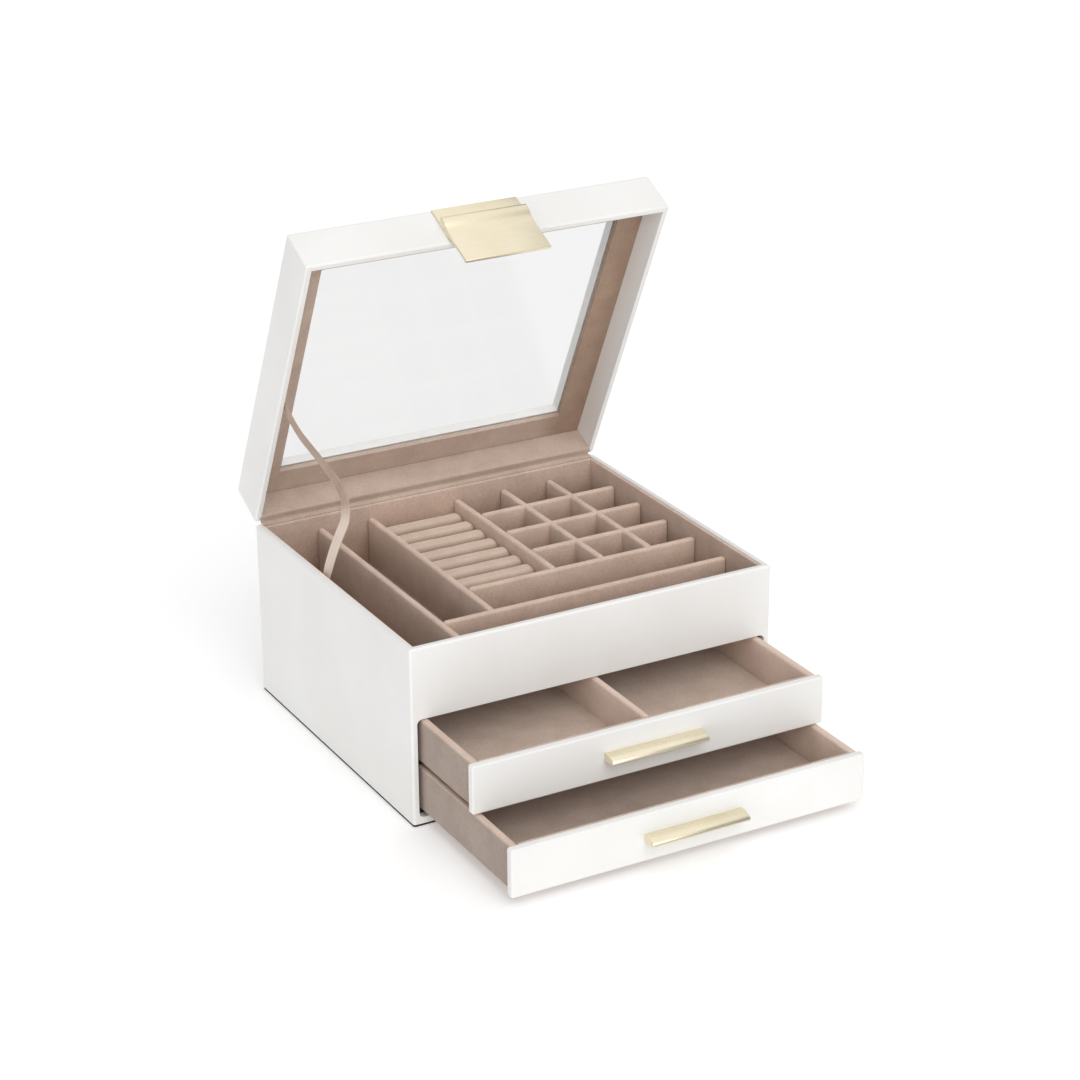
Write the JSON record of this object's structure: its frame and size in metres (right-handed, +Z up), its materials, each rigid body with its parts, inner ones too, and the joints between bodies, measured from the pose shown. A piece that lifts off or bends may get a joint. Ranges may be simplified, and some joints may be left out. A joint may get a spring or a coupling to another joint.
{
  "type": "jewellery box",
  "caption": "Leather-covered jewellery box with a hinged window lid on a ribbon stay, a divided velvet tray and sliding velvet drawers with metal handles.",
  "frame": {"origin": "middle of the case footprint, on the surface that the box stands on", "axes": "+Z up, the front with the drawers faces -Y, +X to the right of a person facing the front"},
  "size_m": [0.23, 0.3407, 0.3025],
  "materials": {
    "white_leather": "smooth matt coated leather with a faint grain",
    "white_board": "white lined fibreboard",
    "black_lining": "black non-woven lining",
    "velvet": "short rose-taupe velvet",
    "ring_velvet": "velvet over soft foam",
    "gold": "brushed pale gold anodising",
    "screw_steel": "zinc plated",
    "window_glass": "clear polished",
    "ribbon_satin": "satin ribbon"
  },
  "bodies": {
    "case": {"back_panel": "white_board", "base_sheet": "black_lining", "bay_lining": "black_lining", "bottom_panel": "white_board", "case_cover": "white_leather", "cell_dividers_cross": "velvet", "cell_dividers_long": "velvet", "divider_front_cross": "velvet", "divider_left": "velvet", "divider_necklace": "velvet", "divider_rear_cross": "velvet", "divider_ring": "velvet", "drawer_runner_board": "black_lining", "drawer_shelf": "black_lining", "front_fascia": "white_board", "hinge_strip_on_case": "white_leather", "hinge_velvet": "velvet", "ribbon": "ribbon_satin", "ring_base": "ring_velvet", "ring_rolls": "ring_velvet", "side_panel_left": "white_board", "side_panel_right": "white_board", "tray_floor": "white_board", "tray_floor_pad": "velvet", "tray_liner": "velvet"},
    "lid": {"catch_tab": "gold", "hinge_strip_on_lid": "white_leather", "lid_border": "velvet", "lid_cover": "white_leather", "lid_rear_liner": "velvet", "lid_top_board": "white_board", "lid_wall_front": "white_board", "lid_wall_left": "white_board", "lid_wall_rear": "white_board", "lid_wall_right": "white_board", "tab_screws": "screw_steel", "window_glass": "window_glass"},
    "upper_drawer": {"upper_drawer_back": "velvet", "upper_drawer_divider": "velvet", "upper_drawer_floor": "velvet", "upper_drawer_front": "white_leather", "upper_drawer_handle": "gold", "upper_drawer_inner_front": "velvet", "upper_drawer_pad": "velvet", "upper_drawer_side_left": "velvet", "upper_drawer_side_right": "velvet", "upper_handle_screws": "screw_steel"},
    "lower_drawer": {"lower_drawer_back": "velvet", "lower_drawer_floor": "velvet", "lower_drawer_front": "white_leather", "lower_drawer_handle": "gold", "lower_drawer_inner_front": "velvet", "lower_drawer_pad": "velvet", "lower_drawer_side_left": "velvet", "lower_drawer_side_right": "velvet", "lower_handle_screws": "screw_steel"}
  },
  "joints": [
    {"name": "lid_hinge", "type": "hinge", "parent": "case", "child": "lid", "pos_m": [0, 0.1016, 0.10725], "axis": [-1, 0, 0], "range_deg": [-64, 22], "deforming": ["ribbon"]},
    {"name": "upper_drawer_slide", "type": "slide", "parent": "case", "child": "upper_drawer", "axis": [0, -1, 0], "range_m": [-0.062, 0.088]},
    {"name": "lower_drawer_slide", "type": "slide", "parent": "case", "child": "lower_drawer", "axis": [0, -1, 0], "range_m": [-0.104, 0.046]}
  ]
}
